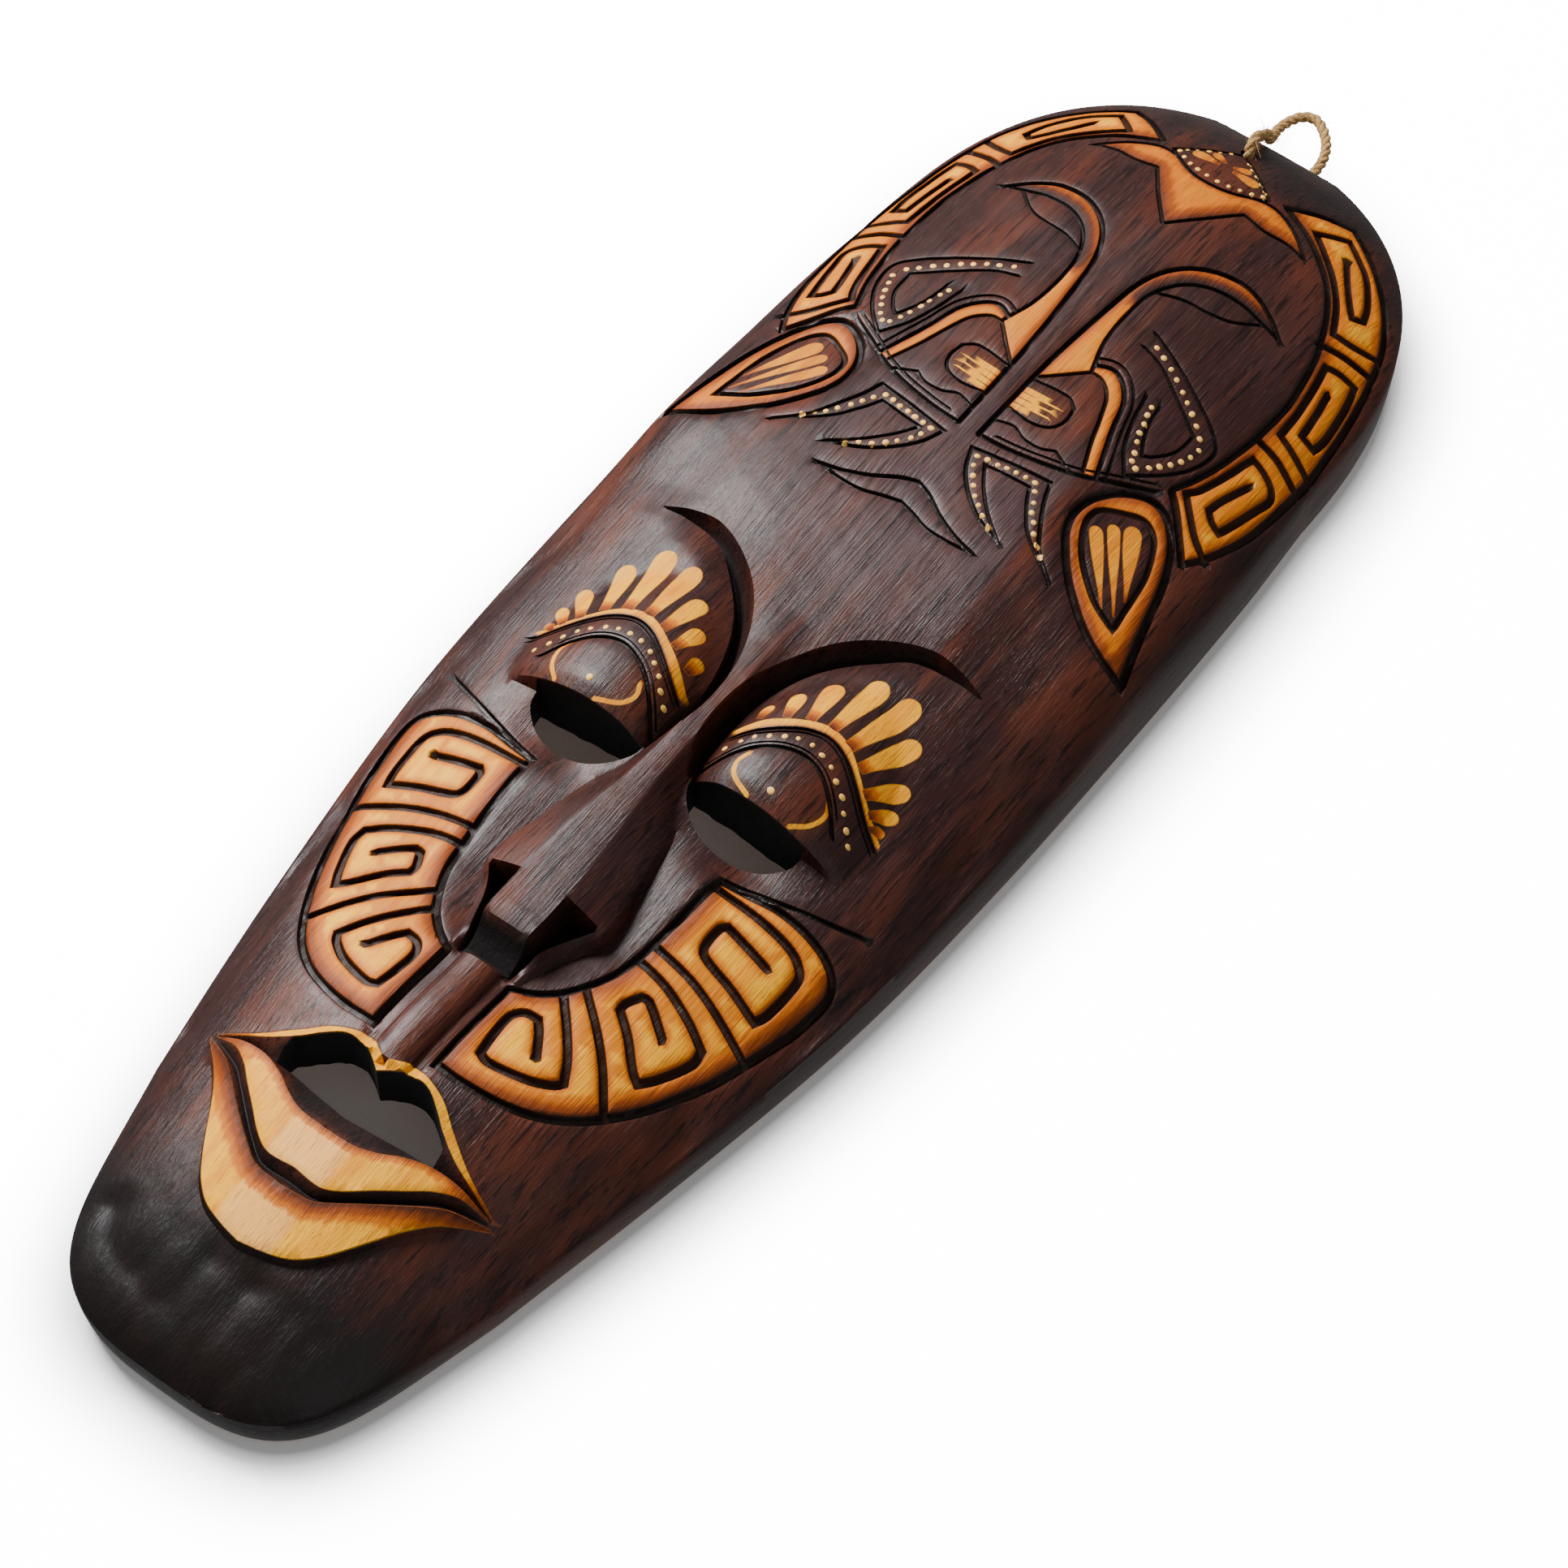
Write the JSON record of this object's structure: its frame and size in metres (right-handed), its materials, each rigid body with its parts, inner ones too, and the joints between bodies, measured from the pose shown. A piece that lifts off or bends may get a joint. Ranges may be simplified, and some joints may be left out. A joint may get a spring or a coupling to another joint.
{
  "type": "tiki mask",
  "caption": "Long carved wooden face mask with pierced eyes and mouth, a hollow back and a jute hanging loop, lying on its back rim.",
  "frame": {"origin": "middle of the mask's box at the level of its back rim, with the cord left out", "axes": "+Z out of the face, +Y to the crown of the head, +X to the side that is on the right when the face is looked at"},
  "size_m": [0.163, 0.5329, 0.0472],
  "materials": {
    "carved_wood": "satin dark stain with light carved panels and painted dots",
    "jute": "twisted natural jute"
  },
  "bodies": {
    "root": {"mask": "carved_wood", "hanging_cord": "jute", "cord_knot": "jute"}
  },
  "joints": []
}
